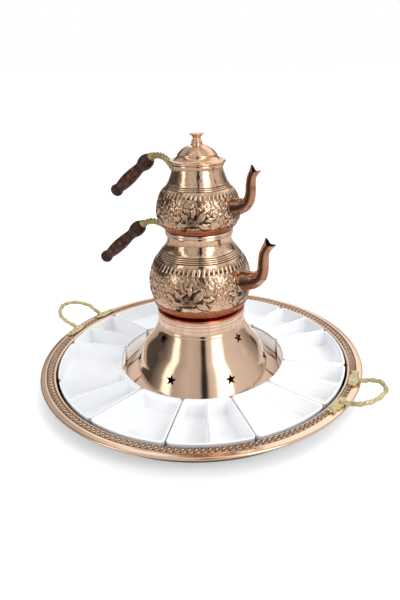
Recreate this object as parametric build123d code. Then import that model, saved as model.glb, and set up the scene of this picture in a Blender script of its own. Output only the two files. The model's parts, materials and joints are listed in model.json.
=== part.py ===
from build123d import *
import os
from math import asin, cos, degrees, pi, radians, sin

# A round copper serving tray with brass handles, twelve wedge-shaped porcelain dishes, a
# star-vented stand with a burner under it, and two stacked copper teapots with a lid.
# Millimetres. Z up. The origin is the centre of the tray's flat underside. The tray handles
# are on the X axis, both spouts point to +X and both wooden grips to -X.

SHEET = 1.2  # wall of the tray, the stand and the pots
REST_GAP = 0.05  # drawn between pieces that rest on each other
HOLE_FIT = 0.03  # radial clearance of rivets, rods and screws in their holes

# Tray
TRAY_R = 300
FLOOR_R = 267.2
BORDER_R = 273.6
BORDER_Z = 34.2
CROWN = (292, 35.4)
WIRE_R = 1.4
BEAD_R = WIRE_R + HOLE_FIT + SHEET / 2
BEAD_CENTRE = (TRAY_R - BEAD_R - SHEET / 2, 32.9)

# Tray handles
HANDLE_SEAT_Z = 36.1
HANDLE_HINGE_X = 285
HANDLE_TILT = 20  # degrees above level
HANDLE_REACH = 75
HANDLE_BAR_R = 3.6
FOOT_CENTRE_R = 288
FOOT_ANGLE = 9.2
FOOT_LENGTH = 44
FOOT_WIDTH = 20
FOOT_THICK = 4.5
FOOT_RIVET_ANGLES = (6.4, 12.0)
FOOT_RIVET_R = 286
RIVET_R = 2.0

# Dishes: six plain wedges and six with a divider, alternating
DISH_COUNT = 12
DISH_IN_R = 153
DISH_OUT_R = 269
DISH_TOP_Z = 36
DISH_SIDE_GAP = 1.0  # from each side to the line between two dishes
DISH_CORNER = 8
DISH_WALL = 4
DISH_DRAFT = 5
DISH_TURN = 4  # angle of the first dish, degrees from +X

# Stand
CONE_WALL = (
    (137, SHEET + REST_GAP + SHEET / 2), (128.9, 21), (118.9, 44.6), (106.4, 66),
    (93.4, 83), (84.6, 97), (79.9, 106), (78.5, 112), (78.4, 118), (78.4, 124.4),
)
BAND_WALL = ((82.1, 107.6), (80.1, 113.6), (80.1, 138.1))
BAND_RIB_HEIGHTS = (116, 121.5, 127, 132.5)
BAND_RIB_CENTRE_R = 80.5
BAND_RIB_R = 0.7
RING_WALL = (
    (77, 116), (77, 125.2), (78.7, 127), (78.7, 139.6), (76.2, 139.6), (72.2, 136.8), (62, 136.8),
)
STAR_R = 9
LOWER_STAR_Z = 44
UPPER_STAR_Z = 96
STAR_COUNT = 7
FIRST_STAR_ANGLE = -137.3

# Burner
BURNER_R = 33
BURNER_TOP_Z = 36
WICK_R = 6
WICK_TOP_Z = 56

# Lower pot: radius and height down the middle of its wall
LOWER_FLOOR_Z = 138.05
LOWER_FLOOR = ((0, LOWER_FLOOR_Z), (69, LOWER_FLOOR_Z))
LOWER_WALL = (
    (70, LOWER_FLOOR_Z), (78, 143.8), (83.6, 148.6), (87.8, 162), (90.2, 177), (91.9, 194),
    (90.4, 207), (86.6, 222), (77.8, 237), (67, 252), (59.9, 262), (57.5, 270), (57.2, 276),
    (57.4, 282.4),
)
LOWER_RIM = (
    (58.05, 278.6), (60.2, 279.4), (60.9, 281.6), (60.3, 284.2), (56.6, 284.2), (56.6, 283.1),
    (58.05, 283.1),
)
LOWER_SPOUT = ((82, 203), (106, 207), (121, 216), (126, 229), (127, 245), (129, 262), (139, 280.5))
LOWER_SPOUT_RADII = (19, 14.5, 11.5, 10.2, 9.6, 8.8, 8)
LOWER_STRAINER_Z = 204
LOWER_PAD_Z = 268
LOWER_ARM = ((-60, 266), (-68, 278), (-80, 284.5), (-95, 287.5), (-110, 286), (-126, 278))
LOWER_GRIP_END = (-229, 192)

# Upper pot
UPPER_FLOOR_Z = 280
UPPER_FLOOR = ((0, UPPER_FLOOR_Z), (54.6, UPPER_FLOOR_Z))
UPPER_PLUG = ((55.6, UPPER_FLOOR_Z + 1), (55.6, 287))
UPPER_WALL = (
    (56.2, 288.2), (58.6, 290.8), (66.6, 298.8), (71, 307), (72.8, 317), (73.2, 327), (72, 337),
    (68.6, 348), (62.2, 358.5), (54.6, 367.5), (49.1, 379), (45.1, 390), (43.5, 397),
    (43.8, 403.4),
)
UPPER_BASE_BAND = (
    (56.3, 284.25), (60.3, 284.25), (60.9, 286.6), (60.2, 289.2), (58.6, 289.2), (56.3, 286.6),
)
UPPER_RIM = (
    (44.5, 400.4), (46.2, 401), (46.6, 403), (46, 405), (43, 405), (43, 404.1), (44.5, 404.1),
)
UPPER_SPOUT = ((62, 333), (83, 337), (97, 345), (102, 360), (102.5, 378), (104.5, 392), (111.5, 407))
UPPER_SPOUT_RADII = (16, 12.5, 10, 9, 8.5, 7.8, 7)
UPPER_STRAINER_Z = 334
UPPER_PAD_Z = 387
UPPER_ARM = ((-47, 386), (-55, 397), (-64, 406), (-75, 411), (-86, 411.5), (-99, 406.5))
UPPER_GRIP_END = (-189, 333)

# Shared by both pots
ARM_R = 4.6
PAD_WIDTH = 15
PAD_HEIGHT = 17
PAD_THICK = 2.6
PAD_RIVET_R = 1.6
PAD_RIVET_STEP = 4.6
ROD_R = 2.5
ROD_START = 9.5  # depth in the ferrule
ROD_SHORT_BY = 6
FERRULE_R = 8
FERRULE_LENGTH = 9
# Turned wooden grip: share of its length, radius
GRIP_SHAPE = (
    (0, 8.6), (0.05, 12.4), (0.13, 14), (0.2, 12.6), (0.245, 10.4), (0.32, 10.2), (0.5, 12.2),
    (0.68, 12.3), (0.8, 10.6), (0.85, 10), (0.93, 12.2), (0.98, 9.8), (1, 6),
)

# Lid
LID_SHEET = 1.0
LID_DOME = ((2.8, 439), (10, 438.7), (21.5, 435.4), (29.6, 429.2), (36.2, 418.6))
LID_BRIM = ((36.2, 418.6), (38.8, 417.2), (40.4, 412.2), (47.6, 409.2), (47.9, 406))
LID_SEAT = (
    (41.4, 399), (42.6, 399), (42.6, 405.05), (47.5, 405.05), (47.5, 406.4), (41.4, 406.4),
)
KNOB = (
    (0, 439.6), (8.8, 439.6), (7.4, 442.4), (8.2, 446), (13.2, 449.8), (13.7, 451.6),
    (11, 453.2), (0, 453.8),
)
SCREW_R = 2.0
SCREW_TOP_Z = 447
SCREW_HEAD_Z = 438.4


def turned(outline):
    """Solid of revolution about Z from a closed (radius, height) outline."""
    return revolve(Plane.XZ * make_face(Polyline(*outline, close=True)), Axis.Z)


def turned_sheet(path, thickness=SHEET):
    """Sheet of revolution about Z, its middle on a path of straight lines and arcs."""
    section = offset(path, amount=thickness / 2, side=Side.BOTH, closed=True)
    return revolve(Plane.XZ * make_face(section), Axis.Z)


def side_curve(run, distance):
    """Curve beside a run's (radius, height) points, to its left for a positive distance."""
    if len(run) == 2:
        path = Line(*run)
        shares = (0, 1)
    else:
        path = Spline(*run)
        shares = [i / (2 * len(run)) for i in range(2 * len(run) + 1)]
    points = []
    for share in shares:
        point = path @ share
        slope = path % share
        points.append((point.X - distance * slope.Y, point.Y + distance * slope.X))
    return Line(*points) if len(points) == 2 else Spline(*points)


def turned_wall(runs, thickness=SHEET):
    """Sheet of revolution whose middle follows runs of points: straight for two, else smooth.

    Short straight lines join one run to the next.
    """
    left = [side_curve(run, thickness / 2) for run in runs]
    right = [side_curve(run, -thickness / 2) for run in reversed(runs)]
    edges = []
    for here, after in zip(left, left[1:]):
        edges += [here, Line(here @ 1, after @ 0)]
    edges += [left[-1], Line(left[-1] @ 1, right[0] @ 1)]
    for here, after in zip(right, right[1:]):
        edges += [here, Line(here @ 0, after @ 1)]
    edges += [right[-1], Line(right[-1] @ 0, left[0] @ 0)]
    return revolve(Plane.XZ * make_face(edges), Axis.Z)


def wall_plane(path, height, azimuth):
    """Plane on a turned wall at a height: Z out along its normal, Y up the wall."""
    low, high = 0.0, 1.0
    for _ in range(40):
        middle = (low + high) / 2
        if (path @ middle).Y < height:
            low = middle
        else:
            high = middle
    point = path @ low
    slope = path % low
    turn = radians(azimuth)
    return Plane(
        origin=(point.X * cos(turn), point.X * sin(turn), point.Y),
        x_dir=(-sin(turn), cos(turn), 0),
        z_dir=(slope.Y * cos(turn), slope.Y * sin(turn), -slope.X),
    )


def outermost(shape, direction):
    """The solid of a cut shape that lies farthest along a direction."""
    return max(shape.solids(), key=lambda solid: solid.center().dot(Vector(direction)))


def rivet(shank_r, foot, grip, dome):
    """Rivet along Z with its domed head above z=grip and its flat tail below z=foot."""
    head_r = 2 * shank_r
    tail_r = 1.6 * shank_r
    outline = [(0, foot - dome / 2), (tail_r, foot - dome / 2), (tail_r, foot), (shank_r, foot)]
    outline += [(shank_r, grip), (head_r, grip), (0.75 * head_r, grip + 0.7 * dome), (0, grip + dome)]
    return turned(outline)


# Tray -----------------------------------------------------------------------------------

def tray_wall():
    """Path of the pan: flat floor, steep wall, border, then the bead rolled round the wire."""
    bead_x, bead_z = BEAD_CENTRE
    body = FilletPolyline((0, SHEET / 2), (FLOOR_R, SHEET / 2), (BORDER_R, BORDER_Z), CROWN, radius=3)
    crown_to_bead = Line(CROWN, (bead_x, bead_z + BEAD_R))
    bead = CenterArc(BEAD_CENTRE, BEAD_R, 90, -265)
    return Wire(body.edges() + crown_to_bead.edges() + bead.edges())


def handle_rivet_places():
    """Places of the eight rivets that hold the two tray handles."""
    places = []
    for side in (0, 180):
        for angle in FOOT_RIVET_ANGLES:
            for turn in (side + angle, side - angle):
                places.append(Rot(Z=turn) * Pos(FOOT_RIVET_R, 0, 0))
    return places


def tray_pan():
    pan = turned_sheet(tray_wall())
    for place in handle_rivet_places():
        pan -= place * Pos(0, 0, BORDER_Z) * Cylinder(RIVET_R + HOLE_FIT, 10)
    return pan


def rim_wire():
    bead_x, bead_z = BEAD_CENTRE
    return Pos(0, 0, bead_z) * Torus(bead_x, WIRE_R)


def handle_point(reach, across):
    """Point on the tilted plane of the tray handle's loop."""
    tilt = radians(HANDLE_TILT)
    return (HANDLE_HINGE_X + reach * cos(tilt), across, 38 + reach * sin(tilt))


def tray_handle():
    """Cast loop that rises outwards from two leaf-shaped feet on the tray's border."""
    side = ((3, 46), (22, 46.5), (45, 42), (66, 25))
    points = [handle_point(u, v) for u, v in side]
    points.append(handle_point(HANDLE_REACH, 0))
    points += [handle_point(u, -v) for u, v in reversed(side)]
    loop_path = Spline(*points)
    start = Plane(origin=loop_path @ 0, z_dir=loop_path % 0)
    handle = sweep(start * Circle(HANDLE_BAR_R), loop_path)
    handle += Pos(*points[0]) * Sphere(HANDLE_BAR_R + 0.4)
    handle += Pos(*points[-1]) * Sphere(HANDLE_BAR_R + 0.4)
    for turn in (FOOT_ANGLE, -FOOT_ANGLE):
        leaf = Rot(Z=turn) * Pos(FOOT_CENTRE_R, 0, HANDLE_SEAT_Z) * Rot(Z=90)
        foot = extrude(Ellipse(FOOT_LENGTH / 2, FOOT_WIDTH / 2), FOOT_THICK)
        foot = fillet(foot.edges().sort_by(Axis.Z)[-1], 1.8)
        handle += leaf * foot
    handle -= Pos(0, 0, HANDLE_SEAT_Z / 2) * Cylinder(TRAY_R + 3, HANDLE_SEAT_Z)
    for angle in FOOT_RIVET_ANGLES:
        for turn in (angle, -angle):
            handle -= Rot(Z=turn) * Pos(FOOT_RIVET_R, 0, 40) * Cylinder(RIVET_R + HOLE_FIT, 30)
    return handle.solids().sort_by(SortBy.VOLUME)[-1]


def handle_rivets():
    one = rivet(RIVET_R, 33.9, HANDLE_SEAT_Z + FOOT_THICK + REST_GAP, 2.4)
    return Part() + [place * one for place in handle_rivet_places()]


# Dishes ---------------------------------------------------------------------------------

def wedge_face(inset, corner, low_side=-1, high_side=1):
    """Rounded wedge around +X, its sides in from the dish's edge lines by an inset.

    A side of 0 puts that side of the wedge on the dish's middle line instead.
    """
    half = 180 / DISH_COUNT
    in_r = DISH_IN_R + inset
    out_r = DISH_OUT_R - inset
    gap_in = degrees(asin((DISH_SIDE_GAP + inset) / in_r))
    gap_out = degrees(asin((DISH_SIDE_GAP + inset) / out_r))
    middle_in = degrees(asin(DISH_WALL / 2 / in_r))
    middle_out = degrees(asin(DISH_WALL / 2 / out_r))
    in_low = -half + gap_in if low_side else middle_in
    out_low = -half + gap_out if low_side else middle_out
    in_high = half - gap_in if high_side else -middle_in
    out_high = half - gap_out if high_side else -middle_out
    inner = CenterArc((0, 0), in_r, in_low, in_high - in_low)
    outer = CenterArc((0, 0), out_r, out_low, out_high - out_low)
    low_edge = Line(inner @ 0, outer @ 0)
    high_edge = Line(inner @ 1, outer @ 1)
    face = make_face([inner, outer, low_edge, high_edge])
    return fillet(face.vertices(), corner)


def drafted(face, top_z, depth, bottom_radius):
    """Block let down from a face at the top, drafted, with a rounded bottom edge."""
    block = extrude(Pos(0, 0, top_z) * face, amount=-depth, taper=DISH_DRAFT)
    bottom = block.faces().sort_by(Axis.Z)[0]
    return fillet(bottom.edges(), bottom_radius)


def dish(divided, azimuth):
    bottom_z = SHEET + REST_GAP
    block = drafted(wedge_face(0, DISH_CORNER), DISH_TOP_Z, DISH_TOP_Z - bottom_z, 3)
    depth = DISH_TOP_Z - bottom_z - DISH_WALL
    sides = ((-1, 0), (0, 1)) if divided else ((-1, 1),)
    for low_side, high_side in sides:
        hollow = wedge_face(DISH_WALL, DISH_CORNER - DISH_WALL + 1, low_side, high_side)
        block -= drafted(hollow, DISH_TOP_Z, depth, 2)
    return Rot(Z=azimuth) * block


# Stand and burner -----------------------------------------------------------------------

def star():
    """Flat five-pointed star with one point up."""
    points = []
    for i in range(10):
        r = STAR_R if i % 2 == 0 else 0.4 * STAR_R
        angle = pi / 2 + i * pi / 5
        points.append((r * cos(angle), r * sin(angle)))
    return make_face(Polyline(*points, close=True))


def star_places():
    """Height and azimuth of each star: a full lower row, and every other gap above it."""
    step = 360 / STAR_COUNT
    lower = [(LOWER_STAR_Z, FIRST_STAR_ANGLE + step * i) for i in range(STAR_COUNT)]
    upper = [(UPPER_STAR_Z, FIRST_STAR_ANGLE + step * (i + 0.5)) for i in range(0, STAR_COUNT, 2)]
    return lower + upper


def stand_cone():
    path = Spline(*CONE_WALL)
    cone = turned_wall([CONE_WALL])
    for height, azimuth in star_places():
        cone -= wall_plane(path, height, azimuth) * extrude(star(), 6, both=True)
    return cone


def neck_band():
    band = turned_sheet(Polyline(*BAND_WALL))
    for height in BAND_RIB_HEIGHTS:
        band += Pos(0, 0, height) * Torus(BAND_RIB_CENTRE_R, BAND_RIB_R)
    return band


def support_ring():
    return turned_sheet(FilletPolyline(*RING_WALL, radius=0.8))


def burner_cup():
    path = FilletPolyline(
        (0, SHEET * 1.5 + REST_GAP), (BURNER_R - 2, SHEET * 1.5 + REST_GAP),
        (BURNER_R, BURNER_TOP_Z - 6), radius=3,
    )
    return turned_sheet(path)


def burner_top():
    """Cover that drops over the cup, with the wick tube in its middle."""
    tube_r = WICK_R + HOLE_FIT + 1
    skirt_r = BURNER_R + SHEET + 0.5
    return turned([
        (WICK_R + HOLE_FIT, 20), (tube_r, 20), (tube_r, BURNER_TOP_Z - SHEET),
        (skirt_r - 1, BURNER_TOP_Z - SHEET), (skirt_r - 1, 26), (skirt_r, 26),
        (skirt_r, BURNER_TOP_Z), (tube_r, BURNER_TOP_Z), (tube_r, WICK_TOP_Z - 6),
        (WICK_R + HOLE_FIT, WICK_TOP_Z - 6),
    ])


def burner_wick():
    return Pos(0, 0, (5 + WICK_TOP_Z) / 2) * Cylinder(WICK_R, WICK_TOP_Z - 5)


# Pots -----------------------------------------------------------------------------------

def pot_body(runs, strainer_z, pad_z):
    """Shell with a flat floor, strainer holes behind the spout and rivet holes for the arm."""
    body = turned_wall(runs)
    wall = Spline(*runs[-1])
    spout_side = wall_plane(wall, strainer_z, 0)
    for place in [Location((0, 0, 0))] + list(PolarLocations(7, 6)):
        body -= spout_side * place * Cylinder(2, 8)
    for plane in pad_rivet_planes(wall, pad_z):
        body -= plane * Cylinder(PAD_RIVET_R + HOLE_FIT, 12)
    return body


def spout(points, radii, wall):
    """Swan-necked tube, thin-walled, with a notched mouth and its base cut to the pot."""
    path = Spline(*[(x, 0, z) for x, z in points])
    outer = []
    inner = []
    for i, r in enumerate(radii):
        share = i / (len(radii) - 1)
        plane = Plane(origin=path @ share, x_dir=(0, 1, 0), z_dir=path % share)
        outer.append(plane * Circle(r))
        inner.append(plane * Circle(r - SHEET))
    tube = loft(outer) - loft(inner)
    tube -= turned_wall([wall], SHEET + 2 * REST_GAP)
    tube = outermost(tube, (1, 0, 0))
    mouth = Plane(origin=path @ 1, x_dir=(0, 1, 0), z_dir=path % 1)
    notch = make_face(Polyline((-7, 3), (0, -6), (7, 3), close=True))
    across = Plane(origin=mouth.origin, x_dir=mouth.y_dir, z_dir=mouth.x_dir)
    notch = across * extrude(notch, 40, both=True)
    return outermost(tube - notch, (-1, 0, 0))


def pad_rivet_planes(wall, pad_z):
    """Planes of the two rivets that hold an arm's pad to a pot, on the -X side."""
    return [wall_plane(wall, pad_z + step, 180) for step in (-PAD_RIVET_STEP, PAD_RIVET_STEP)]


def grip_frame(arm, grip_end):
    """Plane at the grip's start with Z along the grip, and the grip's length."""
    start = Vector(arm[-1][0], 0, arm[-1][1])
    run = Vector(grip_end[0], 0, grip_end[1]) - start
    return Plane(origin=start, x_dir=(0, 1, 0), z_dir=run), run.length


def arm_body(arm, grip_end, wall, pad_z):
    """Cast arm: an oval pad on the pot, an arched neck and a ferrule for the grip."""
    grip_plane, _ = grip_frame(arm, grip_end)
    points = [(x, 0, z) for x, z in arm]
    path = Spline(*points, tangents=[(-0.8, 0, 0.6), grip_plane.z_dir])
    start = Plane(origin=path @ 0, z_dir=path % 0)
    body = sweep(start * Circle(ARM_R), path)
    ferrule = [(0, -FERRULE_LENGTH), (ARM_R, -FERRULE_LENGTH), (FERRULE_R - 1.5, -4)]
    ferrule += [(FERRULE_R, -1), (FERRULE_R, 0), (0, 0)]
    body += grip_plane * turned(ferrule)
    wall_path = Spline(*wall)
    oval = Ellipse(PAD_WIDTH / 2, PAD_HEIGHT / 2)
    pad = wall_plane(wall_path, pad_z, 180) * extrude(oval, 12, both=True)
    body += outermost(pad & turned_wall([wall], SHEET + 2 * PAD_THICK), (-1, 0, 0))
    body -= turned_wall([wall], SHEET + 2 * REST_GAP)
    body = outermost(body, (-1, 0, 0))
    for plane in pad_rivet_planes(wall_path, pad_z):
        body -= plane * Cylinder(PAD_RIVET_R + HOLE_FIT, 12)
        body -= plane * Pos(0, 0, PAD_THICK + 6) * Cylinder(2 * PAD_RIVET_R + 0.3, 12)
    body -= grip_plane * Pos(0, 0, -3) * Cylinder(ROD_R + HOLE_FIT, 14)
    return body.solids().sort_by(SortBy.VOLUME)[-1]


def arm_rivets(wall, pad_z):
    one = rivet(PAD_RIVET_R, -SHEET / 2 - 0.15, PAD_THICK + REST_GAP, 1.6)
    return Part() + [plane * one for plane in pad_rivet_planes(Spline(*wall), pad_z)]


def grip(arm, grip_end):
    """Turned wooden grip, bored for the rod."""
    plane, length = grip_frame(arm, grip_end)
    bore_r = ROD_R + HOLE_FIT
    points = [(r, REST_GAP + share * (length - REST_GAP)) for share, r in GRIP_SHAPE]
    side = Spline(*points)
    ends = Polyline(points[-1], (bore_r, length), (bore_r, REST_GAP), points[0])
    body = revolve(Plane.XZ * make_face(side.edges() + ends.edges()), Axis.Z)
    return plane * body


def grip_rod(arm, grip_end):
    """Rod from inside the ferrule to just short of the grip's far end."""
    plane, length = grip_frame(arm, grip_end)
    rod_length = ROD_START + length - ROD_SHORT_BY
    return plane * Pos(0, 0, rod_length / 2 - ROD_START) * Cylinder(ROD_R, rod_length)


# Lid ------------------------------------------------------------------------------------

def lid():
    brim = FilletPolyline(*LID_BRIM, radius=0.8)
    cover = turned_wall([LID_DOME], LID_SHEET) + turned_sheet(brim, LID_SHEET)
    return cover + turned(LID_SEAT)


def lid_knob():
    return turned(KNOB) - Pos(0, 0, 442) * Cylinder(SCREW_R + HOLE_FIT, 12)


def lid_screw():
    shank_z = SCREW_TOP_Z - SCREW_HEAD_Z
    shank = Pos(0, 0, SCREW_HEAD_Z + shank_z / 2) * Cylinder(SCREW_R, shank_z)
    head = Pos(0, 0, SCREW_HEAD_Z - 1.2) * Cylinder(2 * SCREW_R, 2.4)
    slot = Pos(0, 0, SCREW_HEAD_Z - 2.4) * Box(5 * SCREW_R, 0.9, 1.8)
    return shank + head - slot


# Assembly -------------------------------------------------------------------------------

def build_parts():
    parts = {
        "tray_pan": tray_pan(),
        "tray_rim_wire": rim_wire(),
        "tray_handle_right": tray_handle(),
        "tray_handle_left": Rot(Z=180) * tray_handle(),
        "tray_handle_rivets": handle_rivets(),
        "stand_cone": stand_cone(),
        "stand_neck_band": neck_band(),
        "stand_support_ring": support_ring(),
        "burner_cup": burner_cup(),
        "burner_top": burner_top(),
        "burner_wick": burner_wick(),
        "lid": lid(),
        "lid_knob": lid_knob(),
        "lid_screw": lid_screw(),
    }
    step = 360 / DISH_COUNT
    for i in range(DISH_COUNT):
        divided = i % 2 == 0
        kind = "double" if divided else "single"
        parts[f"{kind}_dish_{i // 2 + 1}"] = dish(divided, DISH_TURN + step * i)

    pots = (
        ("lower", [LOWER_FLOOR, LOWER_WALL], LOWER_STRAINER_Z, LOWER_PAD_Z, LOWER_SPOUT,
         LOWER_SPOUT_RADII, LOWER_ARM, LOWER_GRIP_END),
        ("upper", [UPPER_FLOOR, UPPER_PLUG, UPPER_WALL], UPPER_STRAINER_Z, UPPER_PAD_Z,
         UPPER_SPOUT, UPPER_SPOUT_RADII, UPPER_ARM, UPPER_GRIP_END),
    )
    for name, runs, strainer_z, pad_z, spout_points, radii, arm, grip_end in pots:
        wall = runs[-1]
        parts[f"{name}_pot_body"] = pot_body(runs, strainer_z, pad_z)
        parts[f"{name}_pot_spout"] = spout(spout_points, radii, wall)
        parts[f"{name}_pot_arm"] = arm_body(arm, grip_end, wall, pad_z)
        parts[f"{name}_pot_arm_rivets"] = arm_rivets(wall, pad_z)
        parts[f"{name}_pot_grip"] = grip(arm, grip_end)
        parts[f"{name}_pot_grip_rod"] = grip_rod(arm, grip_end)
    parts["lower_pot_rim_ring"] = turned(LOWER_RIM)
    parts["upper_pot_base_band"] = turned(UPPER_BASE_BAND)
    parts["upper_pot_rim_ring"] = turned(UPPER_RIM)
    return parts


os.makedirs("parts", exist_ok=True)
for name, shape in build_parts().items():
    export_step(shape, f"parts/{name}.step")
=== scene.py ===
import json
from functools import cache
from math import atan2, cos, degrees, pi, radians, sin, sqrt

import bmesh
import bpy
import numpy as np
from mathutils import Matrix, Vector
from mathutils.bvhtree import BVHTree


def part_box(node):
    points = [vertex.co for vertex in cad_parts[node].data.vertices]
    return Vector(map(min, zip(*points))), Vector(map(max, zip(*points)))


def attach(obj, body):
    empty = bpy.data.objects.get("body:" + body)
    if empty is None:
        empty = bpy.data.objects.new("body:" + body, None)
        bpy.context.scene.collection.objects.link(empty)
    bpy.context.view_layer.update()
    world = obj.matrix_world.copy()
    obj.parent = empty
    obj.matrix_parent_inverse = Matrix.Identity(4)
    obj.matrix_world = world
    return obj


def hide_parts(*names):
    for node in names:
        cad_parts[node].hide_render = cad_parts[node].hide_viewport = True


# A round copper tray with brass handles, porcelain wedge dishes, a star-vented stand and two
# stacked copper teapots. Metres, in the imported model's own frame. The tray, stand, pot bodies and
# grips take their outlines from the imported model; the other pieces' outlines are drawn here.

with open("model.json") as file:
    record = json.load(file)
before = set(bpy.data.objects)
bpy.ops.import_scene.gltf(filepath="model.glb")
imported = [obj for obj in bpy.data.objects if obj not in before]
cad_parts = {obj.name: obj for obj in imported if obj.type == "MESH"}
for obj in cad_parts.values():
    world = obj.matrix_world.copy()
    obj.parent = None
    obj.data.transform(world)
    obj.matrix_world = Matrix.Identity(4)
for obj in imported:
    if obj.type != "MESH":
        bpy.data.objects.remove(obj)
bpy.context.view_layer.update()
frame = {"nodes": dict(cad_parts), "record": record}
BODY_OF = {node: body for body, nodes in frame["record"]["behaviour"]["bodies"].items()
           for node in nodes}
SLOT_OF = {part["node"]: part["material_slot"] for part in frame["record"]["subparts"]}
MM = 0.001
SHEET = 1.2 * MM  # thickness of the copper
FRONT = radians(-58)  # azimuth that faces the camera


# Node helpers

class Nodes:
    """Short way to build a node tree: new nodes, links and plain maths."""

    def __init__(self, tree):
        self.tree = tree

    def add(self, kind, **values):
        """New node, with its settings and inputs given by name."""
        node = self.tree.nodes.new(kind)
        for key, value in values.items():
            if hasattr(node, key):
                setattr(node, key, value)
            else:
                self.plug(value, node.inputs[key.replace("_", " ")])
        return node

    def plug(self, value, socket):
        """Sets a socket to a number, colour or vector, or links another node's output to it."""
        if isinstance(value, (int, float)):
            socket.default_value = value
        elif isinstance(value, tuple):
            socket.default_value = value if socket.type == "VECTOR" else (*value, 1)
        else:
            self.tree.links.new(value, socket)

    def maths(self, operation, a, b=0.0):
        node = self.add("ShaderNodeMath", operation=operation)
        self.plug(a, node.inputs[0])
        self.plug(b, node.inputs[1])
        return node.outputs[0]

    def mix(self, factor, a, b):
        node = self.add("ShaderNodeMix", data_type="RGBA")
        for value, k in ((factor, 0), (a, 6), (b, 7)):
            self.plug(value, node.inputs[k])
        return node.outputs[2]

    def scale(self, source, low, high, from_low=0.0, from_high=1.0):
        """Maps one range of values to another, held at both ends."""
        node = self.add("ShaderNodeMapRange", Value=source, From_Min=from_low, From_Max=from_high,
                        To_Min=low, To_Max=high)
        return node.outputs["Result"]

    def ramp(self, source, stops):
        node = self.add("ShaderNodeValToRGB", Fac=source)
        elements = node.color_ramp.elements
        while len(elements) < len(stops):
            elements.new(0.5)
        for element, (place, colour) in zip(elements, stops):
            element.position = place
            element.color = (*colour, 1)
        return node.outputs["Color"]


class Surface(Nodes):
    """Material with one principled shader, drawn in the object's own space."""

    def __init__(self, name):
        self.material = bpy.data.materials.new(name)
        self.material.use_nodes = True
        super().__init__(self.material.node_tree)
        self.tree.nodes.clear()
        self.shader = self.add("ShaderNodeBsdfPrincipled")
        self.add("ShaderNodeOutputMaterial", Surface=self.shader.outputs[0])
        self.coords = self.add("ShaderNodeTexCoord").outputs["Object"]

    def noise(self, scale, detail=3.0, rough=0.5, stretch=(1, 1, 1), distortion=0.0):
        mapping = self.add("ShaderNodeMapping", Vector=self.coords, Scale=stretch)
        node = self.add("ShaderNodeTexNoise", Vector=mapping.outputs[0], Scale=scale, Detail=detail,
                        Roughness=rough, Distortion=distortion)
        return node.outputs["Fac"]

    def radius_and_height(self):
        """Distance from the upright axis, and height."""
        x, y, z = self.add("ShaderNodeSeparateXYZ", Vector=self.coords).outputs
        square = self.maths("ADD", self.maths("MULTIPLY", x, x), self.maths("MULTIPLY", y, y))
        return self.maths("SQRT", square), z

    def turning_lines(self):
        """A fine noise that changes with height and radius but not with azimuth."""
        radius, height = self.radius_and_height()
        along = self.maths("ADD", self.maths("MULTIPLY", radius, 1.7), height)
        node = self.add("ShaderNodeTexNoise", noise_dimensions="1D", W=along, Scale=1 / (1.1 * MM),
                        Detail=2.0, Roughness=0.6)
        return node.outputs["Fac"]

    def attribute(self, name):
        return self.add("ShaderNodeAttribute", attribute_name=name).outputs["Fac"]

    def bump(self, height, strength, distance):
        node = self.add("ShaderNodeBump", Height=height, Strength=strength, Distance=distance)
        self.set(Normal=node.outputs["Normal"])

    def set(self, **values):
        for key, value in values.items():
            self.plug(value, self.shader.inputs[key.replace("_", " ")])


# Materials

def copper(name, light, deep, rough, lines=0.0, relief=False):
    """Polished copper: warm cloudy colour, fine scratches, and, with relief, darker where an
    attribute says: low relief, painted shade and painted reflections.
    """
    m = Surface(name)
    colour = m.ramp(m.noise(9.0, 4.0, 0.55), [(0.3, deep), (0.62, light)])
    fine = m.noise(160.0, 3.0, 0.6)
    roughness = m.scale(fine, rough * 0.75, rough * 1.35, 0.3, 0.7)
    if relief:
        depth = m.attribute("patina_and_shade")
        colour = m.mix(m.attribute("blush"), colour, (0.62, 0.20, 0.085))
        # Near black where the attribute is high: patina and painted shade in hollows, and painted
        # reflections.
        colour = m.mix(m.scale(depth, 0.0, 0.98), colour, (0.020, 0.012, 0.009))
        roughness = m.maths("ADD", roughness, m.scale(depth, 0.0, 0.22))
        punched = m.maths("MULTIPLY", m.noise(430.0, 2.0, 0.5), m.attribute("worked"))
        fine = m.maths("ADD", m.maths("MULTIPLY", punched, 6.0), fine)
    m.set(Base_Color=colour, Metallic=1.0, Roughness=roughness)
    if lines:
        turned = m.maths("MULTIPLY", m.turning_lines(), lines)
        m.bump(m.maths("ADD", turned, m.maths("MULTIPLY", fine, 0.15)), 0.35, 0.25 * MM)
    else:
        m.bump(fine, 0.12, 0.2 * MM)
    return m.material


def brass(name, low, high):
    """Cast brass: pale gold, darker in its hollows, softly pitted."""
    m = Surface(name)
    cloud = m.noise(60.0, 4.0, 0.6)
    cavity = m.add("ShaderNodeNewGeometry").outputs["Pointiness"]
    hollow = m.scale(cavity, 0.0, 1.0, 0.44, 0.50)
    colour = m.mix(hollow, (0.24, 0.18, 0.06), m.ramp(cloud, [(0.3, low), (0.7, high)]))
    m.set(Base_Color=colour, Metallic=0.85, Roughness=m.scale(cloud, 0.24, 0.4))
    m.bump(m.noise(900.0, 3.0, 0.6), 0.25, 0.2 * MM)
    return m.material


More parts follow.
